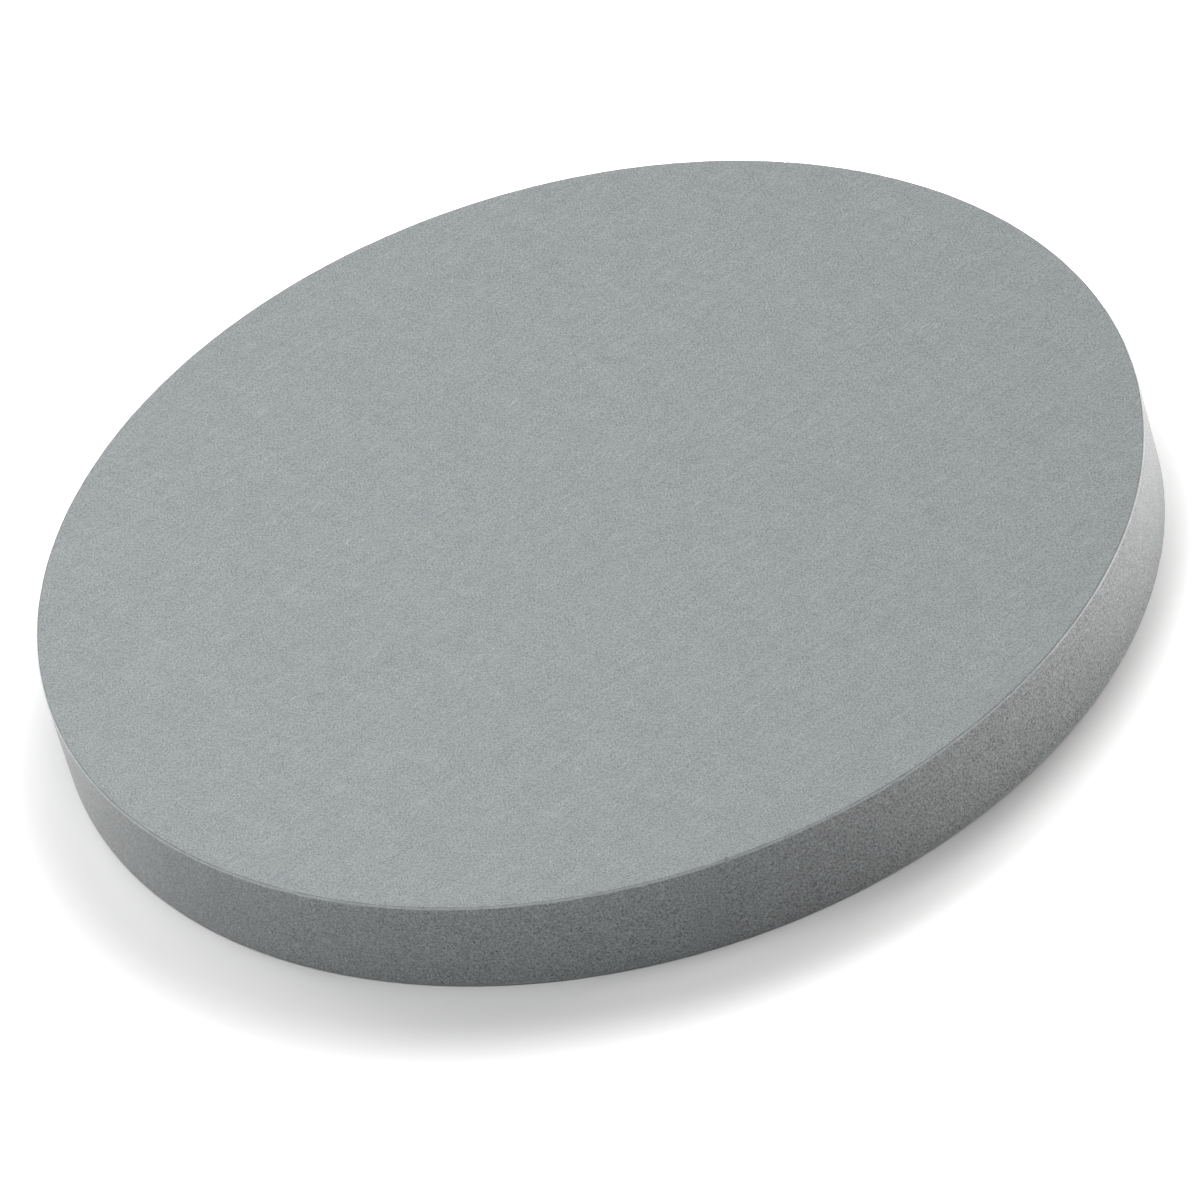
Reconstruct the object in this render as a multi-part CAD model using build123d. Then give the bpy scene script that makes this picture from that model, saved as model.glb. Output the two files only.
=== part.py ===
from build123d import *

import os

# A round sputtering target: one solid disc of sintered grey material, sawn and ground from a
# pressed blank. It lies on its back face, which goes against the cathode's cooling plate, with
# the face that is sputtered away on top. Millimetres, +Z up, origin at the centre of the back face.

# Driving dimensions
diameter = 76.2           # a 3 inch cathode takes this size
thickness = 6.9           # back face to sputtered face
front_edge_radius = 0.15  # stoned edge round the sputtered face
back_edge_radius = 0.15   # stoned edge round the back face


def make_target_disc() -> Part:
    """Return the ground disc, with both of its sharp corners taken off."""
    with BuildPart() as disc:
        with BuildSketch(Plane.XY):
            Circle(diameter / 2)
        extrude(amount=thickness)
        back_edge, front_edge = disc.edges().filter_by(GeomType.CIRCLE).sort_by(Axis.Z)
        fillet(front_edge, front_edge_radius)
        fillet(back_edge, back_edge_radius)
    return disc.part


os.makedirs("parts", exist_ok=True)
export_step(make_target_disc(), "parts/target_disc.step")
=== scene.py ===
"""Dresses a round sputtering target: a ground disc of sintered matte grey material.

The disc lies on its back face on a pale table, under soft studio light. Lengths are in metres.
"""

import logging
import math
from dataclasses import dataclass
from enum import Enum

import bmesh
import bpy
from mathutils import Matrix, Vector, noise


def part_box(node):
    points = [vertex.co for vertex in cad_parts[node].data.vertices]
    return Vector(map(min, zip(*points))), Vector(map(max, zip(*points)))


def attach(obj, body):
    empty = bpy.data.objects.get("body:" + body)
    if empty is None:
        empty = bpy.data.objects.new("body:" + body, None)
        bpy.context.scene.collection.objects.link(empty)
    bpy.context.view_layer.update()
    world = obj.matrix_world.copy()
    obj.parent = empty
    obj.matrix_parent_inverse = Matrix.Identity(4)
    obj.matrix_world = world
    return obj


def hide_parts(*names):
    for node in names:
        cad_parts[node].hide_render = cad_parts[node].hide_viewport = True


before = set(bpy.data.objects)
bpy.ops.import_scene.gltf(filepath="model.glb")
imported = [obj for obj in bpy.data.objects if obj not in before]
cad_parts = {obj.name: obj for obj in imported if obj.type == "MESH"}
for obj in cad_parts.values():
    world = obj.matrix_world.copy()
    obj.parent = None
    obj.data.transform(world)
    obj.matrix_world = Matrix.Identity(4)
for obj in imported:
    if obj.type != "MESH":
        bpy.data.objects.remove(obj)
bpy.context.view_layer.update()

LOG = logging.getLogger("sputtering_target")

MM = 0.001
NODE = "target_disc"
BODY = "root"
UV_NAME = "OFBake"

NOISE_MIDDLE = 0.5      # mean of a noise texture

Colour = tuple[float, float, float]
SocketLike = bpy.types.NodeSocket | float | tuple
Sockets = bpy.types.bpy_prop_collection

WHITE: Colour = (1.0, 1.0, 1.0)
WARM_WHITE: Colour = (1.0, 0.955, 0.94)


def rgba(colour: Colour) -> tuple[float, float, float, float]:
    """Give a colour a full alpha.

    Args:
        colour: A linear colour.

    Returns:
        The colour's three channels and an alpha of 1.
    """
    return (*colour, 1.0)


# ---------------------------------------------------------------------------------------------
# Node building
# ---------------------------------------------------------------------------------------------


class NodeSheet:
    """Places nodes in one node tree and joins their sockets."""

    COLUMN = 190.0              # between nodes, in the editor's units
    MIX_FACTOR = 0              # places of a Mix node's inputs, and of its output, for colours
    MIX_FIRST = 6
    MIX_SECOND = 7
    MIX_RESULT = 2

    def __init__(self, tree: bpy.types.NodeTree) -> None:
        """Start an empty sheet.

        Args:
            tree: The node tree to fill. Its old nodes are removed.
        """
        self.tree = tree
        tree.nodes.clear()

    def add(self, kind: str, inputs: dict[str | int, SocketLike] | None = None,
            **settings: object) -> bpy.types.Node:
        """Add one node.

        Args:
            kind: The node's type, such as "ShaderNodeTexNoise".
            inputs: A socket to join, or a value to set, for each input by its name or number.
            settings: The node's own properties.

        Returns:
            The new node.
        """
        node = self.tree.nodes.new(kind)
        node.location = (self.COLUMN * len(self.tree.nodes), 0.0)
        for name, value in settings.items():
            setattr(node, name, value)
        for key, value in (inputs or {}).items():
            self.feed(node.inputs[key], value)
        return node

    def feed(self, socket: bpy.types.NodeSocket, value: SocketLike) -> None:
        """Join a value to an input, or set it there if it is a plain value.

        Args:
            socket: The input.
            value: A socket of another node, or a number or vector.
        """
        if isinstance(value, bpy.types.NodeSocket):
            self.tree.links.new(value, socket)
        else:
            socket.default_value = value

    def math(self, operation: str, *values: SocketLike, clamp: bool = False) -> bpy.types.NodeSocket:
        """Add a Math node.

        Args:
            operation: The node's operation, such as "MULTIPLY_ADD".
            values: One to three numbers or sockets.
            clamp: Whether the result is kept between 0 and 1.

        Returns:
            The result.
        """
        node = self.add("ShaderNodeMath", dict(enumerate(values)), operation=operation, use_clamp=clamp)
        return node.outputs[0]

    def vector(self, operation: str, *values: SocketLike) -> bpy.types.NodeSocket:
        """Add a Vector Math node that gives a vector.

        Args:
            operation: The node's operation, such as "MULTIPLY".
            values: One to three vectors or sockets.

        Returns:
            The vector result.
        """
        return self.add("ShaderNodeVectorMath", dict(enumerate(values)), operation=operation).outputs[0]

    def ramp(self, value: SocketLike, low: float, high: float) -> bpy.types.NodeSocket:
        """Add a smooth step.

        Args:
            value: What the step reads.
            low: Where the step is 0.
            high: Where the step is 1.

        Returns:
            The step, from 0 to 1.
        """
        inputs = {"Value": value, "From Min": low, "From Max": high}
        return self.add("ShaderNodeMapRange", inputs, interpolation_type="SMOOTHSTEP").outputs[0]

    def scaled(self, colour: SocketLike, factor: SocketLike) -> bpy.types.NodeSocket:
        """Multiply a colour.

        Args:
            colour: The colour, or a socket.
            factor: What all three channels are multiplied by.

        Returns:
            The scaled colour.
        """
        node = self.add("ShaderNodeVectorMath", {0: colour, "Scale": factor}, operation="SCALE")
        return node.outputs[0]

    def blend(self, factor: SocketLike, first: SocketLike, second: SocketLike) -> bpy.types.NodeSocket:
        """Mix two colours.

        Args:
            factor: 0 for the first colour, 1 for the second.
            first: A colour, or a socket.
            second: A colour, or a socket.

        Returns:
            The mixed colour.
        """
        inputs = {self.MIX_FACTOR: factor, self.MIX_FIRST: first, self.MIX_SECOND: second}
        return self.add("ShaderNodeMix", inputs, data_type="RGBA").outputs[self.MIX_RESULT]

    def turned_and_stretched(self, source: Sockets) -> bpy.types.NodeSocket:
        """Turn a surface onto a heading, then measure it in cells.

        Args:
            source: Sockets named Vector, Heading, Length and Width.

        Returns:
            The place on the surface: along the heading in lengths, across it in widths.
        """
        turned = self.add("ShaderNodeVectorRotate",
                          {"Vector": source["Vector"], "Angle": source["Heading"]},
                          rotation_type="Z_AXIS").outputs[0]
        parts = self.add("ShaderNodeSeparateXYZ", {0: turned}).outputs
        along = self.math("DIVIDE", parts[0], source["Length"])
        across = self.math("DIVIDE", parts[1], source["Width"])
        return self.add("ShaderNodeCombineXYZ", {0: along, 1: across}).outputs[0]


class SocketKind(Enum):
    """Kinds of socket on a shader group."""

    NUMBER = "NodeSocketFloat"
    VECTOR = "NodeSocketVector"


class ShaderGroup:
    """A node group with named inputs and outputs, built once and placed in several materials."""

    name = "group"
    takes: dict[str, SocketKind] = {}
    gives: dict[str, SocketKind] = {}

    def __init__(self) -> None:
        """Build the group's node tree."""
        self.tree = bpy.data.node_groups.new(self.name, "ShaderNodeTree")
        self.sheet = NodeSheet(self.tree)
        for label, kind in self.takes.items():
            self.tree.interface.new_socket(name=label, in_out="INPUT", socket_type=kind.value)
        for label, kind in self.gives.items():
            self.tree.interface.new_socket(name=label, in_out="OUTPUT", socket_type=kind.value)
        source = self.sheet.add("NodeGroupInput").outputs
        results = self.build(source)
        self.sheet.add("NodeGroupOutput", results)

    def build(self, source: Sockets) -> dict[str, SocketLike]:
        """Fill the group.

        Args:
            source: The group's input sockets, by name.

        Returns:
            The socket for each of the group's outputs.
        """
        raise NotImplementedError

    def place(self, sheet: NodeSheet, inputs: dict[str, SocketLike]) -> Sockets:
        """Put the group in a material.

        Args:
            sheet: The material's sheet.
            inputs: The value or socket for each input.

        Returns:
            The outputs of the placed group.
        """
        node = sheet.add("ShaderNodeGroup", node_tree=self.tree)
        for label, value in inputs.items():
            sheet.feed(node.inputs[label], value)
        return node.outputs


class SinteredGrain(ShaderGroup):
    """Fine sandy grain of a pressed and fired powder, with clusters and faint clouds."""

    name = "sintered_grain"
    takes = {
        "Vector": SocketKind.VECTOR,
        "Grain Size": SocketKind.NUMBER,
        "Grain": SocketKind.NUMBER,
        "Clusters": SocketKind.NUMBER,
        "Clouds": SocketKind.NUMBER,
    }
    gives = {"Shade": SocketKind.NUMBER, "Height": SocketKind.NUMBER}

    LAYERS = (                  # socket for the amount, size in grains, octaves of noise
        ("Grain", 1.0, 1.0),
        ("Clusters", 5.5, 2.0),
        ("Clouds", 42.0, 3.0),
    )
    NOISE_ROUGHNESS = 0.6

    def build(self, source: Sockets) -> dict[str, SocketLike]:
        """Add three sizes of noise into one shade about 1.

        Args:
            source: The group's input sockets, by name.

        Returns:
            The socket for each of the group's outputs.
        """
        sheet = self.sheet
        shade: SocketLike = 1.0
        height = None
        for amount, size, detail in self.LAYERS:
            period = sheet.math("MULTIPLY", source["Grain Size"], size)
            scale = sheet.math("DIVIDE", 1.0, period)
            inputs = {"Vector": source["Vector"], "Scale": scale, "Detail": detail,
                      "Roughness": self.NOISE_ROUGHNESS}
            value = sheet.add("ShaderNodeTexNoise", inputs).outputs[0]
            height = height or value
            centred = sheet.math("SUBTRACT", value, NOISE_MIDDLE)
            shade = sheet.math("MULTIPLY_ADD", centred, source[amount], shade)
        return {"Shade": shade, "Height": height}


class GrindingMarks(ShaderGroup):
    """Short straight scratches that all run one way, each in a stretched cell of its own."""

    name = "grinding_marks"
    takes = {
        "Vector": SocketKind.VECTOR,
        "Heading": SocketKind.NUMBER,
        "Length": SocketKind.NUMBER,
        "Width": SocketKind.NUMBER,
        "Share": SocketKind.NUMBER,
    }
    gives = {"Mask": SocketKind.NUMBER}

    CORE = 0.12         # half width of the mark, in cell widths
    FADE = 0.42         # where the mark has died away, in cell widths

    def build(self, source: Sockets) -> dict[str, SocketLike]:
        """Turn and stretch the surface, then keep the middle of some of the cells.

        Args:
            source: The group's input sockets, by name.

        Returns:
            The socket for each of the group's outputs.
        """
        sheet = self.sheet
        inputs = {"Vector": sheet.turned_and_stretched(source), "Scale": 1.0}
        cells = sheet.add("ShaderNodeTexVoronoi", inputs, voronoi_dimensions="2D").outputs
        line = sheet.math("SUBTRACT", 1.0, sheet.ramp(cells["Distance"], self.CORE, self.FADE))
        draw = sheet.add("ShaderNodeSeparateColor", {0: cells["Color"]}).outputs
        kept = sheet.math("LESS_THAN", draw[0], source["Share"])
        strength = sheet.math("MULTIPLY", draw[1], kept)
        return {"Mask": sheet.math("MULTIPLY", line, strength)}


class GrindingLay(ShaderGroup):
    """The soft streaks that a wheel leaves all over a surface, along its feed."""

    name = "grinding_lay"
    takes = {
        "Vector": SocketKind.VECTOR,
        "Heading": SocketKind.NUMBER,
        "Length": SocketKind.NUMBER,
        "Width": SocketKind.NUMBER,
    }
    gives = {"Swing": SocketKind.NUMBER}

    DETAIL = 2.0

    def build(self, source: Sockets) -> dict[str, SocketLike]:
        """Turn and stretch a noise along the feed, and centre it on 0.

        Args:
            source: The group's input sockets, by name.

        Returns:
            The socket for each of the group's outputs.
        """
        sheet = self.sheet
        inputs = {"Vector": sheet.turned_and_stretched(source), "Scale": 1.0, "Detail": self.DETAIL}
        value = sheet.add("ShaderNodeTexNoise", inputs, noise_dimensions="2D").outputs[0]
        return {"Swing": sheet.math("SUBTRACT", value, NOISE_MIDDLE)}


class OpenPores(ShaderGroup):
    """Tiny dark pits left between grains, each of its own size."""

    name = "open_pores"
    takes = {
        "Vector": SocketKind.VECTOR,
        "Spacing": SocketKind.NUMBER,
        "Radius": SocketKind.NUMBER,
        "Share": SocketKind.NUMBER,
    }
    gives = {"Mask": SocketKind.NUMBER}

    def build(self, source: Sockets) -> dict[str, SocketLike]:
        """Keep a small dot in some of the cells.

        Args:
            source: The group's input sockets, by name.

        Returns:
            The socket for each of the group's outputs.
        """
        sheet = self.sheet
        scale = sheet.math("DIVIDE", 1.0, source["Spacing"])
        inputs = {"Vector": source["Vector"], "Scale": scale}
        cells = sheet.add("ShaderNodeTexVoronoi", inputs).outputs
        distance = sheet.math("MULTIPLY", cells["Distance"], source["Spacing"])
        draw = sheet.add("ShaderNodeSeparateColor", {0: cells["Color"]}).outputs
        radius = sheet.math("MULTIPLY", draw[1], source["Radius"])
        inside = sheet.math("SUBTRACT", 1.0, sheet.math("DIVIDE", distance, radius), clamp=True)
        kept = sheet.math("LESS_THAN", draw[0], source["Share"])
        return {"Mask": sheet.math("MULTIPLY", sheet.math("SQRT", inside), kept)}


class CylinderUnroll(ShaderGroup):
    """Unrolls a round rim into a flat strip: distance round it along X, height along Y."""

    name = "cylinder_unroll"
    takes = {"Vector": SocketKind.VECTOR, "Radius": SocketKind.NUMBER}
    gives = {"Vector": SocketKind.VECTOR}

    def build(self, source: Sockets) -> dict[str, SocketLike]:
        """Turn the bearing of each point into a length.

        Args:
            source: The group's input sockets, by name.

        Returns:
            The socket for each of the group's outputs.
        """
        sheet = self.sheet
        parts = sheet.add("ShaderNodeSeparateXYZ", {0: source["Vector"]}).outputs
        bearing = sheet.math("ARCTAN2", parts[1], parts[0])
        length = sheet.math("MULTIPLY", bearing, source["Radius"])
        return {"Vector": sheet.add("ShaderNodeCombineXYZ", {0: length, 1: parts[2]}).outputs[0]}


class PaintedCornerShading(ShaderGroup):
    """Two fine lines painted round the stoned corner: a painted shade line by the face, and a painted
    highlight line by the rim.
    """

    name = "painted_corner_shading"
    takes = {
        "Vector": SocketKind.VECTOR,
        "Radius": SocketKind.NUMBER,
        "Width": SocketKind.NUMBER,
        "Painted Shade": SocketKind.NUMBER,
        "Light": SocketKind.NUMBER,
    }
    gives = {"Shade": SocketKind.NUMBER}

    FLAT = (1.0, 1.0, 0.0)      # drops the height
    PAINTED_SHADE_END = (0.36, 0.56)     # share of the way out over the corner, where the painted shade line fades
    PAINTED_HIGHLIGHT_START = (0.54, 0.68)  # the same, where the painted highlight line comes in

    def build(self, source: Sockets) -> dict[str, SocketLike]:
        """Paint a shade line and a highlight line on the corner by how far out each point lies.

        Args:
            source: The group's input sockets, by name.

        Returns:
            The socket for each of the group's outputs.
        """
        sheet = self.sheet
        flat = sheet.vector("MULTIPLY", source["Vector"], self.FLAT)
        out = sheet.add("ShaderNodeVectorMath", {0: flat}, operation="LENGTH").outputs["Value"]
        inward = sheet.math("SUBTRACT", source["Radius"], out)
        across = sheet.math("SUBTRACT", 1.0, sheet.math("DIVIDE", inward, source["Width"]))
        # A painted shade line by the face, and a painted highlight line by the rim.
        painted_shade = sheet.math("SUBTRACT", 1.0, sheet.ramp(across, *self.PAINTED_SHADE_END))
        light = sheet.ramp(across, *self.PAINTED_HIGHLIGHT_START)
        darkened = sheet.math("SUBTRACT", 1.0, sheet.math("MULTIPLY", painted_shade, source["Painted Shade"]))
        return {"Shade": sheet.math("MULTIPLY_ADD", light, source["Light"], darkened)}


@dataclass
class Groups:
    """The shader groups that the disc's finishes share."""

    grain: SinteredGrain
    marks: GrindingMarks
    streaks: GrindingLay
    pores: OpenPores
    unroll: CylinderUnroll
    corner: PaintedCornerShading

    @classmethod
    def build(cls) -> "Groups":
        """Build each group once.

        Returns:
            The groups.
        """
        return cls(SinteredGrain(), GrindingMarks(), GrindingLay(), OpenPores(), CylinderUnroll(),
                   PaintedCornerShading())


# ---------------------------------------------------------------------------------------------
# Finishes
# ---------------------------------------------------------------------------------------------


class Lay(Enum):
    """The surface that grinding marks are laid out on."""

    FLAT = "flat"
    ROUND = "round"


@dataclass(frozen=True)
class Marks:
    """One set of grinding marks. Lengths in metres, heading in degrees from +X.

    The share is of the cells that hold a mark, and the lift is what a mark adds to the shade.
    """

    heading: float
    length: float
    width: float
    share: float
    lift: float


@dataclass(frozen=True)
class Streaks:
    """Soft streaks along one feed of the wheel. Lengths in metres, heading in degrees from +X."""

    heading: float
    length: float
    width: float
    swing: float


@dataclass(frozen=True)
class PaintedCornerLines:
    """The painted lines of the stoned corner: a painted shade line and a painted highlight line. Width
    in metres.
    """

    width: float
    painted_shade: float
    # how much the painted shade line darkens the corner
    light: float
# how much the painted highlight line lightens the corner


@dataclass(frozen=True)
class GroundFinish:
    """Sintered material as one grinding wheel leaves it, with a painted shade line and a painted
    highlight line along a corner where those are given. Lengths in metres.
    """

    name: str
    colour: Colour
    roughness: float
    grain: float                        # how much each size of grain shades the colour
    clusters: float
    clouds: float
    marks: tuple[Marks, ...] = ()
    streaks: tuple[Streaks, ...] = ()
    # painted shade and a painted highlight along the corner, or none
    corner: PaintedCornerLines | None = None
    lay: Lay = Lay.FLAT
    grain_size: float = 0.13 * MM
    relief: float = 0.004 * MM          # height of the grain
    roughness_swing: float = 0.25       # how far the roughness follows the grain
    pore_spacing: float = 3.2 * MM
    pore_radius: float = 0.11 * MM
    pore_share: float = 0.16            # of the places for a pore, how many hold one
    pore_colour: Colour = (0.10, 0.105, 0.11)

    def make(self, groups: Groups, disc_radius: float) -> bpy.types.Material:
        """Build the material.

        Args:
            groups: The shared shader groups.
            disc_radius: Where a rim's marks are unrolled, and where the corner's painted lines end.

        Returns:
            The finished material.
        """
        material = bpy.data.materials.new(self.name)
        material.use_nodes = True
        sheet = NodeSheet(material.node_tree)
        place = sheet.add("ShaderNodeTexCoord").outputs["Object"]
        surface = place
        if self.lay is Lay.ROUND:
            surface = groups.unroll.place(sheet, {"Vector": place, "Radius": disc_radius})["Vector"]
        grain = groups.grain.place(sheet, {
            "Vector": place, "Grain Size": self.grain_size, "Grain": self.grain,
            "Clusters": self.clusters, "Clouds": self.clouds,
        })
        shade = grain["Shade"]
        for marks in self.marks:
            mask = groups.marks.place(sheet, {
                "Vector": surface, "Heading": math.radians(-marks.heading), "Length": marks.length,
                "Width": marks.width, "Share": marks.share,
            })["Mask"]
            shade = sheet.math("MULTIPLY_ADD", mask, marks.lift, shade)
        for streaks in self.streaks:
            swing = groups.streaks.place(sheet, {
                "Vector": surface, "Heading": math.radians(-streaks.heading), "Length": streaks.length,
                "Width": streaks.width,
            })["Swing"]
            shade = sheet.math("MULTIPLY_ADD", swing, streaks.swing, shade)
        # Painted shade and a painted highlight along the stoned corner.
        if self.corner:
            lines = groups.corner.place(sheet, {
                "Vector": place, "Radius": disc_radius, "Width": self.corner.width,
                "Painted Shade": self.corner.painted_shade, "Light": self.corner.light,
            })["Shade"]
            shade = sheet.math("MULTIPLY", shade, lines)
        body = sheet.scaled(self.colour, shade)
        pore = groups.pores.place(sheet, {
            "Vector": place, "Spacing": self.pore_spacing, "Radius": self.pore_radius,
            "Share": self.pore_share,
        })["Mask"]
        colour = sheet.blend(pore, body, rgba(self.pore_colour))
        centred = sheet.math("SUBTRACT", grain["Height"], NOISE_MIDDLE)
        roughness = sheet.math("MULTIPLY_ADD", centred, self.roughness_swing, self.roughness)
        height = sheet.math("SUBTRACT", grain["Height"], pore)
        normal = sheet.add("ShaderNodeBump", {"Height": height, "Distance": self.relief}).outputs[0]
        shader = sheet.add("ShaderNodeBsdfPrincipled", {
            "Base Color": colour, "Roughness": roughness, "Normal": normal,
        })
        sheet.add("ShaderNodeOutputMaterial", {"Surface": shader.outputs[0]})
        return material


FACE_FINISH = GroundFinish(
    name="ground_face",
    colour=(0.325, 0.351, 0.357),
    roughness=0.50,
    grain=1.58,
    clusters=0.24,
    clouds=0.10,
    marks=(
        Marks(heading=23.0, length=3.0 * MM, width=0.11 * MM, share=0.22, lift=0.25),
        Marks(heading=47.0, length=2.2 * MM, width=0.10 * MM, share=0.11, lift=0.22),
        Marks(heading=-38.0, length=2.2 * MM, width=0.10 * MM, share=0.11, lift=0.22),
        Marks(heading=78.0, length=1.8 * MM, width=0.10 * MM, share=0.09, lift=0.22),
    ),
    streaks=(
        Streaks(heading=23.0, length=5.0 * MM, width=0.35 * MM, swing=0.14),
        Streaks(heading=-52.0, length=4.0 * MM, width=0.45 * MM, swing=0.10),
    ),
)

RIM_FINISH = GroundFinish(
    name="ground_rim",
    colour=(0.330, 0.352, 0.355),
    roughness=0.40,
    grain=2.4,
    clusters=0.28,
    clouds=0.18,
    marks=(
        Marks(heading=2.0, length=1.8 * MM, width=0.12 * MM, share=0.3, lift=0.08),
        Marks(heading=64.0, length=1.0 * MM, width=0.10 * MM, share=0.12, lift=0.08),
    ),
    streaks=(Streaks(heading=1.0, length=4.0 * MM, width=0.30 * MM, swing=0.12),),
    lay=Lay.ROUND,
    pore_share=0.25,
)

EDGE_FINISH = GroundFinish(
    name="stoned_edge_painted_light",
    colour=(0.328, 0.351, 0.355),
    roughness=0.42,
    grain=0.8,
    clusters=0.35,
    clouds=0.2,
    relief=0.001 * MM,
    # Painted shade and a painted highlight along the stoned corner. They stand in for how light falls
    # on its rounding.
    corner=PaintedCornerLines(width=0.15 * MM, painted_shade=0.34, light=0.50),
)


# ---------------------------------------------------------------------------------------------
# The disc
# ---------------------------------------------------------------------------------------------


class Zone(Enum):
    """The parts of the disc's skin, and each one's material slot."""

    FRONT = 0
    RIM = 1
    EDGE = 2
    BACK = 3


@dataclass
class TargetDisc:
    """The target: a flat round disc with both corners stoned off by hand."""

    radius: float
    thickness: float
    edge_radius: float = 0.15 * MM      # nominal rounding of both corners
    edge_floor: float = 0.07 * MM       # sharpest that the stoned corner gets
    lump_size: float = 1.1 * MM         # length of the corner's slow unevenness
    lump_swing: float = 0.045 * MM
    chip_size: float = 0.42 * MM        # length of a chip
    chip_depth: float = 0.55 * MM       # for each unit of noise above the chips' level
    chip_level: float = 0.52            # only noise above this level is a chip
    guard: float = 0.55 * MM            # room for a chip, up the face and down the rim
    spokes: int = 180
    spoke_cuts: int = 7                 # extra points between spokes, at the edges and the rim
    arc_steps: int = 6                  # over a rounded corner
    rim_rows: int = 6
    face_rings: tuple[float, ...] = (0.25, 0.5, 0.75, 0.94)  # in disc radii
    map_margin: float = 0.006           # round each part of the bake's map, which is 1 wide
    front_map: float = 0.372            # radius of the front face in the bake's map
    back_map: float = 0.200
    rim_strips: int = 6
    rim_pitch: float = 0.073            # between strips in the bake's map

    MERGE = 0.001 * MM                  # points closer than this are one point
    SLACK = 1.001                       # takes in points that rounding leaves just outside
    FLAT_TILT = 0.999                   # a face that points up or down by more is level
    UPRIGHT_TILT = 0.001                # and one that does so by less is upright
    FRONT_SEED = 3.0
    BACK_SEED = 11.0
    CHIP_SEED = 7.0                     # from a corner's lumps to its chips

    @classmethod
    def from_frame(cls) -> "TargetDisc":
        """Take the disc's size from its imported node.

        Returns:
            The disc, not built yet.
        """
        low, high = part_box(NODE)
        return cls(radius=(high[0] - low[0]) / 2, thickness=high[2] - low[2])

    def profile(self) -> list[Vector]:
        """Draw half of the disc's section.

        Returns:
            Points from the front face's centre, over the rim, to the back face's centre.
        """
        edge = self.edge_radius
        inner = self.radius - edge
        upper = self.thickness - edge
        points = [Vector((0.0, 0.0, self.thickness))]
        points += [Vector((self.radius * part, 0.0, self.thickness)) for part in self.face_rings]
        points.append(Vector((self.radius - self.guard, 0.0, self.thickness)))
        for step in range(self.arc_steps + 1):
            angle = math.pi / 2 * (1 - step / self.arc_steps)
            points.append(Vector((inner + edge * math.cos(angle), 0.0, upper + edge * math.sin(angle))))
        span = self.thickness - 2 * self.guard
        for row in range(self.rim_rows + 1):
            height = self.thickness - self.guard - span * row / self.rim_rows
            points.append(Vector((self.radius, 0.0, height)))
        top = [point for point in points if point.z > self.thickness - edge * self.SLACK]
        mirrored = [Vector((point.x, 0.0, self.thickness - point.z)) for point in top]
        return points + mirrored[::-1]

    def build(self) -> bpy.types.Object:
        """Build the disc's mesh and its map.

        Returns:
            The disc, at the origin, riding on nothing yet.
        """
        bm = bmesh.new()
        points = [bm.verts.new(p) for p in self.profile()]
        section = [bm.edges.new(pair) for pair in zip(points, points[1:])]
        bmesh.ops.spin(bm, geom=points + section, cent=(0, 0, 0), axis=(0, 0, 1), angle=math.tau,
                       steps=self.spokes, use_merge=True)
        bmesh.ops.remove_doubles(bm, verts=bm.verts, dist=self.MERGE)
        self.cut_between_spokes(bm)
        bmesh.ops.recalc_face_normals(bm, faces=bm.faces)
        self.zone_faces(bm)
        self.lay_map(bm)
        self.break_edges(bm)
        mesh = bpy.data.meshes.new("target_disc_ground")
        bm.to_mesh(mesh)
        bm.free()
        mesh.shade_smooth()
        piece = bpy.data.objects.new("target_disc_ground", mesh)
        bpy.context.scene.collection.objects.link(piece)
        return piece

    def cut_between_spokes(self, bm: bmesh.types.BMesh) -> None:
        """Add points round the edges and the rim, and put them on the circle.

        Args:
            bm: The disc's mesh.
        """
        start = self.radius - self.guard * self.SLACK
        hoops = []
        for edge in bm.edges:
            near, far = (vert.co for vert in edge.verts)
            outside = min(near.xy.length, far.xy.length) > start
            level = abs(near.z - far.z) < self.MERGE
            round_axis = abs(near.xy.length - far.xy.length) < self.MERGE
            if outside and level and round_axis:
                hoops.append(edge)
        bmesh.ops.subdivide_edges(bm, edges=hoops, cuts=self.spoke_cuts, use_grid_fill=True)
        half_step = math.pi / self.spokes
        for vert in bm.verts:
            if vert.co.xy.length <= start * math.cos(half_step):
                continue
            bearing = math.atan2(vert.co.y, vert.co.x) % (2 * half_step) - half_step
            vert.co.xy *= math.cos(bearing) / math.cos(half_step)

    def zone_faces(self, bm: bmesh.types.BMesh) -> None:
        """Give each face the slot of its zone.

        Args:
            bm: The disc's mesh.
        """
        for face in bm.faces:
            up = face.normal.z
            if up > self.FLAT_TILT:
                zone = Zone.FRONT
            elif up < -self.FLAT_TILT:
                zone = Zone.BACK
            elif abs(up) < self.UPRIGHT_TILT:
                zone = Zone.RIM
            else:
                zone = Zone.EDGE
            face.material_index = zone.value

    def lay_map(self, bm: bmesh.types.BMesh) -> None:
        """Lay out the map for baking: two round faces, and the rim in strips beside them.

        Args:
            bm: The disc's mesh.
        """
        layer = bm.loops.layers.uv.new(UV_NAME)
        front_centre = Vector((1, 1)) * (self.map_margin + self.front_map)
        back_centre = Vector((1, 1)) * (1 - self.map_margin - self.back_map)
        reach = self.radius + self.edge_radius * (math.pi / 2 - 1)
        for face in bm.faces:
            centre = face.calc_center_median()
            if abs(face.normal.z) < self.UPRIGHT_TILT:
                self.map_rim_face(face, centre, layer)
                continue
            on_front = centre.z > self.thickness / 2
            size = self.front_map if on_front else self.back_map
            middle = front_centre if on_front else back_centre
            for loop in face.loops:
                place = loop.vert.co
                flat = place.xy.copy()
                if flat.length > self.radius - self.edge_radius:
                    flat = flat.normalized() * self.unrolled(place)
                if not on_front:
                    flat.x = -flat.x
                loop[layer].uv = middle + flat * (size / reach)

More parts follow.
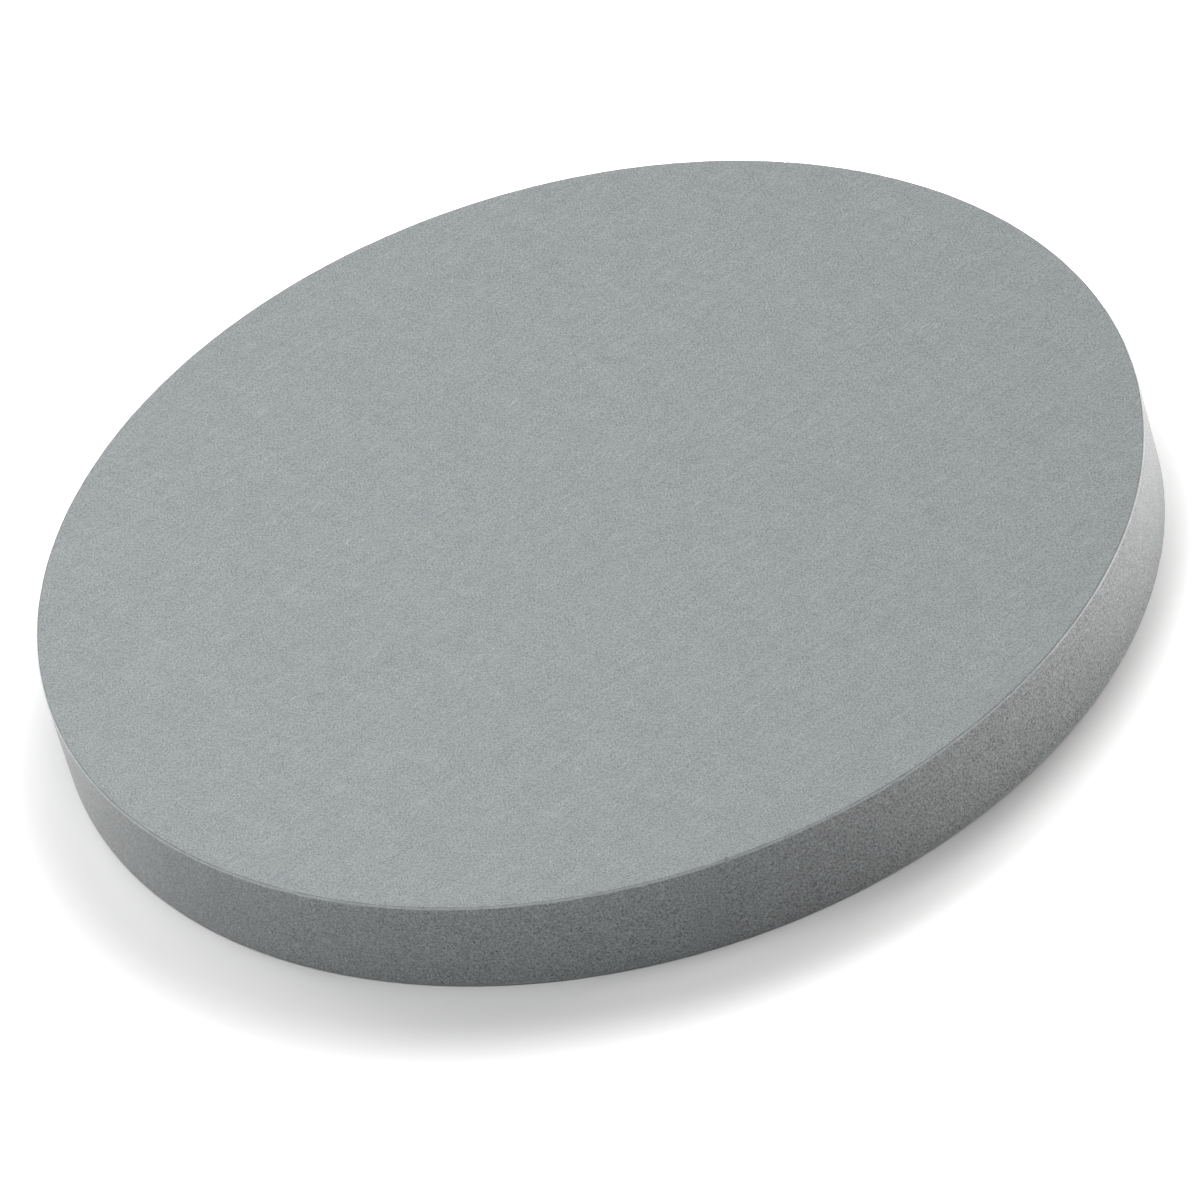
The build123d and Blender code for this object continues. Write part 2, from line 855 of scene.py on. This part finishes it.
    def unrolled(self, place: Vector) -> float:
        """Measure from the axis to a point of a rounded edge, along the skin.

        Args:
            place: The point, before the corner is made uneven.

        Returns:
            The distance.
        """
        inner = self.radius - self.edge_radius
        out = place.xy.length - inner
        return inner + self.edge_radius * math.asin(min(1.0, out / self.edge_radius))

    def map_rim_face(self, face: bmesh.types.BMFace, centre: Vector,
                     layer: bmesh.types.BMLayerItem) -> None:
        """Lay one face of the rim in its strip: even strips lie, odd ones stand.

        Args:
            face: The face.
            centre: The face's centre.
            layer: The map.
        """
        scale = self.front_map / self.radius
        strip_turn = math.tau / self.rim_strips
        turn = math.atan2(centre.y, centre.x) % math.tau
        strip = int(turn / strip_turn)
        shelf = strip // 2
        base = 2 * (self.map_margin + self.front_map) + self.map_margin + shelf * self.rim_pitch
        for loop in face.loops:
            place = loop.vert.co
            ahead = math.atan2(place.y, place.x) - turn
            ahead = (ahead + math.pi) % math.tau - math.pi
            along = self.map_margin + (turn + ahead - strip * strip_turn) * self.radius * scale
            across = base + (place.z - self.edge_radius) * scale
            loop[layer].uv = (along, across) if strip % 2 == 0 else (across, along)

    def local_edge(self, vert: bmesh.types.BMVert, seed: float) -> float:
        """Return the radius of the stoned corner at one bearing.

        Args:
            vert: A point of the corner.
            seed: Sets one corner's pattern apart from the other's.

        Returns:
            The corner's radius there.
        """
        bearing = vert.co.xy.normalized() * self.radius
        lumps = noise.noise(Vector((*(bearing / self.lump_size), seed)))
        chips = noise.noise(Vector((*(bearing / self.chip_size), seed + self.CHIP_SEED)))
        chip = max(0.0, chips - self.chip_level) * self.chip_depth
        return max(self.edge_floor, self.edge_radius + lumps * self.lump_swing) + chip

    def break_edges(self, bm: bmesh.types.BMesh) -> None:
        """Make both corners as uneven as a hand stone leaves them.

        Args:
            bm: The disc's mesh.
        """
        edge = self.edge_radius
        inner = self.radius - edge * self.SLACK
        for vert in bm.verts:
            depth = min(vert.co.z, self.thickness - vert.co.z)
            out = vert.co.xy.length
            if out < inner or depth > edge * self.SLACK:
                continue
            top = vert.co.z > self.thickness / 2
            angle = math.atan2(edge - depth, out - (self.radius - edge))
            local = self.local_edge(vert, self.FRONT_SEED if top else self.BACK_SEED)
            new_out = self.radius - local + local * math.cos(angle)
            new_depth = local - local * math.sin(angle)
            vert.co.xy *= new_out / out
            vert.co.z = self.thickness - new_depth if top else new_depth

    def dress(self, piece: bpy.types.Object, groups: Groups) -> None:
        """Give each zone of the disc its finish.

        Args:
            piece: The built disc.
            groups: The shared shader groups.
        """
        face = FACE_FINISH.make(groups, self.radius)
        rim = RIM_FINISH.make(groups, self.radius)
        edge = EDGE_FINISH.make(groups, self.radius)
        finishes = {Zone.FRONT: face, Zone.RIM: rim, Zone.EDGE: edge, Zone.BACK: face}
        for zone in Zone:
            piece.data.materials.append(finishes[zone])

    def seat(self, piece: bpy.types.Object) -> None:
        """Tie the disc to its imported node.

        Args:
            piece: The built disc.
        """
        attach(piece, BODY)
        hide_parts(NODE)


# ---------------------------------------------------------------------------------------------
# Studio
# ---------------------------------------------------------------------------------------------


@dataclass(frozen=True)
class SoftLight:
    """A square soft box, aimed at the disc. Bearing and height are in degrees, lengths in metres."""

    name: str
    bearing: float
    height: float
    distance: float
    size: float
    watts: float
    colour: Colour = WHITE
    mirrored: bool = True               # shows in glosses

    def place(self, aim: Vector) -> None:
        """Hang the light.

        Args:
            aim: The point that it faces.
        """
        data = bpy.data.lights.new(self.name, "AREA")
        data.shape = "SQUARE"
        data.size = self.size
        data.energy = self.watts
        data.color = self.colour
        light = bpy.data.objects.new(self.name, data)
        bearing, height = math.radians(self.bearing), math.radians(self.height)
        away = Vector((math.cos(bearing) * math.cos(height), math.sin(bearing) * math.cos(height),
                       math.sin(height)))
        light.location = aim + away * self.distance
        light.rotation_mode = "QUATERNION"
        light.rotation_quaternion = away.to_track_quat("Z", "Y")
        light.visible_camera = False
        light.visible_glossy = self.mirrored
        bpy.context.scene.collection.objects.link(light)


@dataclass
class Studio:
    """Pale table, white surroundings and soft boxes."""

    table_half: float = 3.0             # half of the table's width
    table_drop: float = 0.02 * MM       # from the disc's back face to the table
    table_colour: Colour = (0.77, 0.77, 0.77)   # as a source of bounced light
    seen_colour: Colour = (0.90, 0.90, 0.90)    # as the camera and the glosses see it
    # The table glows more the farther it lies from a point a little left of and in front of the disc's
    # middle. Far off this is plain white. Near the disc it is painted light that lifts the disc's
    # shadow most at the right end and behind it, and least in front.
    painted_glow_centre: tuple[float, float, float] = (-0.003, -0.005, 0.0)
    painted_glow_from: float = 0.0355           # from the painted glow's centre
    painted_glow_to: float = 0.0465
    room_light: float = 0.05            # share of the room's white that lights the disc
    lights: tuple[SoftLight, ...] = (
        SoftLight("key_box", bearing=215.0, height=71.0,
                  distance=0.20, size=0.12, watts=0.214),
        SoftLight("back_box", bearing=122.0, height=46.0,
                  distance=0.36, size=0.18, watts=0.455, mirrored=False),
        SoftLight("left_strip", bearing=128.0, height=6.5,
                  distance=0.42, size=0.09, watts=0.50, colour=WARM_WHITE),
        SoftLight("right_strip", bearing=46.0, height=6.5,
                  distance=0.42, size=0.09, watts=0.66, colour=WARM_WHITE),
        SoftLight("right_box", bearing=4.0, height=9.0,
                  distance=0.50, size=0.15, watts=1.44, colour=WARM_WHITE),
    )

    @staticmethod
    def seen(sheet: NodeSheet) -> bpy.types.NodeSocket:
        """Tell the rays that make the picture from those that carry bounced light.

        Args:
            sheet: The material's or the world's sheet.

        Returns:
            1 for a ray from the camera, off a gloss or through glass, and 0 for the rest.
        """
        path = sheet.add("ShaderNodeLightPath").outputs
        total = sheet.math("ADD", path["Is Camera Ray"], path["Is Glossy Ray"])
        return sheet.math("ADD", total, path["Is Transmission Ray"], clamp=True)

    def table_material(self) -> bpy.types.Material:
        """Make the table's material. It keeps the disc's shadow in front and fades to plain white far
        off, and the fade is a painted glow, centred off the disc, that also lifts the shadow at the
        right end and behind the disc.

        Returns:
            The material.
        """
        material = bpy.data.materials.new("pale_table")
        material.use_nodes = True
        sheet = NodeSheet(material.node_tree)
        place = sheet.add("ShaderNodeTexCoord").outputs["Object"]
        away = {0: place, 1: self.painted_glow_centre}
        distance = sheet.add("ShaderNodeVectorMath", away, operation="DISTANCE").outputs["Value"]
        far = sheet.ramp(distance, self.painted_glow_from, self.painted_glow_to)
        bounce = sheet.add("ShaderNodeBsdfDiffuse", {"Color": rgba(self.table_colour)}).outputs[0]
        shown = sheet.add("ShaderNodeBsdfDiffuse", {"Color": rgba(self.seen_colour)}).outputs[0]
        # Painted glow: lifts the disc's shadow at the right end and behind it, and shows in the disc's
        # glosses too.
        glow = sheet.add("ShaderNodeEmission", {"Strength": far}).outputs[0]
        bright = sheet.add("ShaderNodeAddShader", {0: shown, 1: glow}).outputs[0]
        mixed = sheet.add("ShaderNodeMixShader", {0: self.seen(sheet), 1: bounce, 2: bright}).outputs[0]
        sheet.add("ShaderNodeOutputMaterial", {"Surface": mixed})
        return material

    def build_table(self) -> None:
        """Build the table top, just under the disc."""
        bm = bmesh.new()
        bmesh.ops.create_grid(bm, x_segments=1, y_segments=1, size=self.table_half)
        bmesh.ops.translate(bm, verts=bm.verts, vec=(0, 0, -self.table_drop))
        mesh = bpy.data.meshes.new("table")
        bm.to_mesh(mesh)
        bm.free()
        mesh.materials.append(self.table_material())
        table = bpy.data.objects.new("table", mesh)
        bpy.context.scene.collection.objects.link(table)

    def build_world(self) -> None:
        """Make the surroundings white to look at, and dim as a light."""
        world = bpy.data.worlds.new("white_room")
        world.use_nodes = True
        sheet = NodeSheet(world.node_tree)
        strength = sheet.math("MULTIPLY_ADD", self.seen(sheet), 1.0 - self.room_light, self.room_light)
        back = sheet.add("ShaderNodeBackground", {"Color": rgba(WHITE), "Strength": strength})
        sheet.add("ShaderNodeOutputWorld", {"Surface": back.outputs[0]})
        bpy.context.scene.world = world

    def build(self, aim: Vector) -> None:
        """Set up the surroundings, the table and the lights.

        Args:
            aim: The point that the lights face.
        """
        self.build_world()
        self.build_table()
        for light in self.lights:
            light.place(aim)


@dataclass(frozen=True)
class Camera:
    """A long lens that looks down on the disc, rolled to one side. Angles in degrees."""

    elevation: float = 38.48
    roll: float = 16.835
    lens: float = 371.73                # in millimetres, like the sensor's width
    sensor_width: float = 36.0
    distance: float = 21.78             # in disc radii
    across: float = 0.02338             # aim, right of the front face's centre, in disc radii
    down: float = 0.13675               # aim, below it
    nearest: float = 0.01               # what the camera can see, in metres
    farthest: float = 50.0

    def place(self, disc: TargetDisc) -> None:
        """Make the scene's camera.

        Args:
            disc: The disc to look at.
        """
        data = bpy.data.cameras.new("camera")
        data.sensor_width = self.sensor_width
        data.lens = self.lens
        data.clip_start = self.nearest
        data.clip_end = self.farthest
        camera = bpy.data.objects.new("camera", data)
        bpy.context.scene.collection.objects.link(camera)
        bpy.context.scene.camera = camera
        tilt = Matrix.Rotation(math.radians(90.0 - self.elevation), 3, "X")
        turn = tilt @ Matrix.Rotation(math.radians(-self.roll), 3, "Z")
        shift = Vector((self.across, -self.down, self.distance)) * disc.radius
        camera.rotation_mode = "QUATERNION"
        camera.rotation_quaternion = turn.to_quaternion()
        camera.location = Vector((0.0, 0.0, disc.thickness)) + turn @ shift


def main() -> None:
    """Build the disc and the studio."""
    logging.basicConfig(level=logging.INFO, format="%(name)s: %(message)s")
    bpy.context.scene.view_settings.view_transform = "Standard"
    disc = TargetDisc.from_frame()
    piece = disc.build()
    disc.dress(piece, Groups.build())
    disc.seat(piece)
    LOG.info("%s: %d faces", piece.name, len(piece.data.polygons))
    Studio().build(Vector((0.0, 0.0, disc.thickness)))
    Camera().place(disc)


if __name__ == "__main__":
    main()
